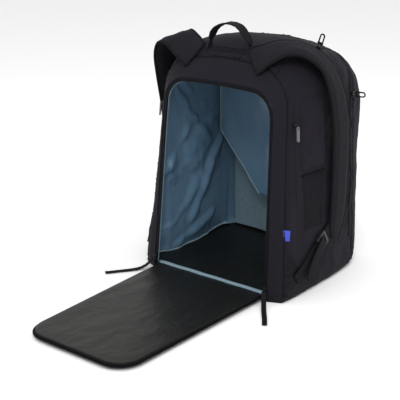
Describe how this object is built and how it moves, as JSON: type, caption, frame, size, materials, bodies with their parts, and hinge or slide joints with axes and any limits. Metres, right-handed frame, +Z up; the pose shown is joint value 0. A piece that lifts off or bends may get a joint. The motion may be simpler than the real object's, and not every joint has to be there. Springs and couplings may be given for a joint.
{
  "type": "ski boot bag",
  "caption": "Ski boot backpack whose padded back panel unzips and folds down to the floor as a changing mat.",
  "frame": {"origin": "centre of the flat base, at floor level", "axes": "+Z up, +Y from the fold-down door towards the far side, +X to the right seen from the door"},
  "size_m": [0.4202, 0.757, 0.535],
  "materials": {
    "base": "heavy coated weave",
    "shell": "matt woven",
    "foam": "closed-cell foam",
    "tarp": "coated tarpaulin, low sheen",
    "lining": "coated nylon, soft sheen",
    "heather": "heathered weave",
    "trim": "woven tape",
    "coil": "nylon zip coil",
    "airmesh": "padded air mesh",
    "metal": "black painted zinc",
    "webbing": "nylon webbing",
    "cord": "braided cord",
    "pull": "light grey moulded",
    "strap": "woven with air mesh lining",
    "plastic": "acetal",
    "label": "woven label, plain",
    "stretch": "stretch woven"
  },
  "bodies": {
    "bag": {"base_panel": "base", "base_pad": "foam", "floor_tray": "tarp", "frame_band": "shell", "front_panel": "shell", "top_panel": "shell", "side_panel_left": "shell", "side_panel_right": "shell", "wall_foam": "foam", "side_foam_left": "foam", "side_foam_right": "foam", "lining_top": "lining", "lining_left": "lining", "lining_right": "lining", "front_lining": "lining", "lining_back": "lining", "facing_strip": "heather", "lining_hem": "heather", "divider": "lining", "mesh_pocket": "heather", "frame_piping": "trim", "frame_zip_tape": "trim", "frame_zip_coil": "coil", "lid_zip_tape": "trim", "front_zip_tape": "trim", "side_zip_tapes": "trim", "zip_coils": "coil", "hinge_strip": "heather", "corner_tabs": "webbing", "lower_webbings": "webbing", "side_label": "label", "side_pockets": "shell", "stretch_pockets": "stretch"},
    "door": {"door_mat": "tarp", "door_foam": "foam", "door_outer_panel": "shell", "door_binding": "trim", "door_zip_tape": "trim", "door_back_pads": "airmesh"},
    "door_slider_left": {"door_slider_left": "metal"},
    "door_slider_right": {"door_slider_right": "metal"},
    "door_pull_left": {"door_pull_left": "webbing"},
    "door_pull_right": {"door_pull_right": "webbing"},
    "lid_slider": {"lid_slider": "metal"},
    "lid_loop": {"lid_loop": "cord"},
    "front_slider": {"front_slider": "metal"},
    "front_loop": {"front_loop": "cord"},
    "side_slider_left": {"side_slider_left": "metal"},
    "side_slider_right": {"side_slider_right": "metal"},
    "side_pull_left": {"side_pull_left": "pull"},
    "side_pull_right": {"side_pull_right": "pull"},
    "handle": {"grab_handle": "webbing"},
    "strap_left": {"strap_cover_left": "strap", "strap_foam_left": "foam", "ladder_lock_left": "plastic", "strap_tail_left": "webbing"},
    "strap_right": {"strap_cover_right": "strap", "strap_foam_right": "foam", "ladder_lock_right": "plastic", "strap_tail_right": "webbing"}
  },
  "joints": [
    {"name": "door_hinge", "type": "hinge", "parent": "bag", "child": "door", "pos_m": [0, -0.175, 0.012], "axis": [-1, 0, 0], "range_deg": [0, 94]},
    {"name": "door_slider_right_slide", "type": "slide", "parent": "bag", "child": "door_slider_right", "axis": [-0.0311, 0.0697, 0.9971], "range_m": [0, 0.315]},
    {"name": "door_pull_right_lift", "type": "hinge", "parent": "door_slider_right", "child": "door_pull_right", "pos_m": [0.14279, -0.1845, 0.0266], "axis": [-0.8211, -0.5708, 0], "range_deg": [0, 70]},
    {"name": "door_slider_left_slide", "type": "slide", "parent": "bag", "child": "door_slider_left", "axis": [0.0311, 0.0697, 0.9971], "range_m": [0, 0.315]},
    {"name": "door_pull_left_lift", "type": "hinge", "parent": "door_slider_left", "child": "door_pull_left", "pos_m": [-0.14279, -0.1845, 0.0266], "axis": [-0.8211, 0.5708, 0], "range_deg": [0, 70]},
    {"name": "lid_slider_travel", "type": "hinge", "parent": "bag", "child": "lid_slider", "pos_m": [0, 0.03, 0.11342], "axis": [0, -1, 0], "range_deg": [0, 36]},
    {"name": "lid_loop_tilt", "type": "hinge", "parent": "lid_slider", "child": "lid_loop", "pos_m": [0.12233, 0.03, 0.48266], "axis": [0, 1, 0], "range_deg": [-50, 50]},
    {"name": "front_slider_slide", "type": "slide", "parent": "bag", "child": "front_slider", "axis": [0.0442, 0, -0.999], "range_m": [0, 0.28]},
    {"name": "front_loop_tilt", "type": "hinge", "parent": "front_slider", "child": "front_loop", "pos_m": [0.17305, 0.08948, 0.38033], "axis": [-0.065, 0.9979, 0], "range_deg": [-50, 50]},
    {"name": "side_slider_right_slide", "type": "slide", "parent": "bag", "child": "side_slider_right", "axis": [0.076, 0, -0.9971], "range_m": [0, 0.22]},
    {"name": "side_pull_right_lift", "type": "hinge", "parent": "side_slider_right", "child": "side_pull_right", "pos_m": [0.17175, -0.11871, 0.35311], "axis": [-0.3635, -0.9316, 0], "range_deg": [0, 80]},
    {"name": "side_slider_left_slide", "type": "slide", "parent": "bag", "child": "side_slider_left", "axis": [-0.076, 0, -0.9971], "range_m": [0, 0.22]},
    {"name": "side_pull_left_lift", "type": "hinge", "parent": "side_slider_left", "child": "side_pull_left", "pos_m": [-0.17175, -0.11871, 0.35311], "axis": [-0.3635, 0.9316, 0], "range_deg": [0, 80]},
    {"name": "handle_fold", "type": "hinge", "parent": "bag", "child": "handle", "pos_m": [0, -0.101, 0.491], "axis": [1, 0, 0], "range_deg": [-60, 30]},
    {"name": "strap_right_lift", "type": "hinge", "parent": "bag", "child": "strap_right", "pos_m": [0.066, -0.131, 0.46], "axis": [0.9903, 0, -0.1387], "range_deg": [0, 20]},
    {"name": "strap_left_lift", "type": "hinge", "parent": "bag", "child": "strap_left", "pos_m": [-0.076, -0.141, 0.454], "axis": [0.9874, 0, 0.158], "range_deg": [0, 14]}
  ]
}
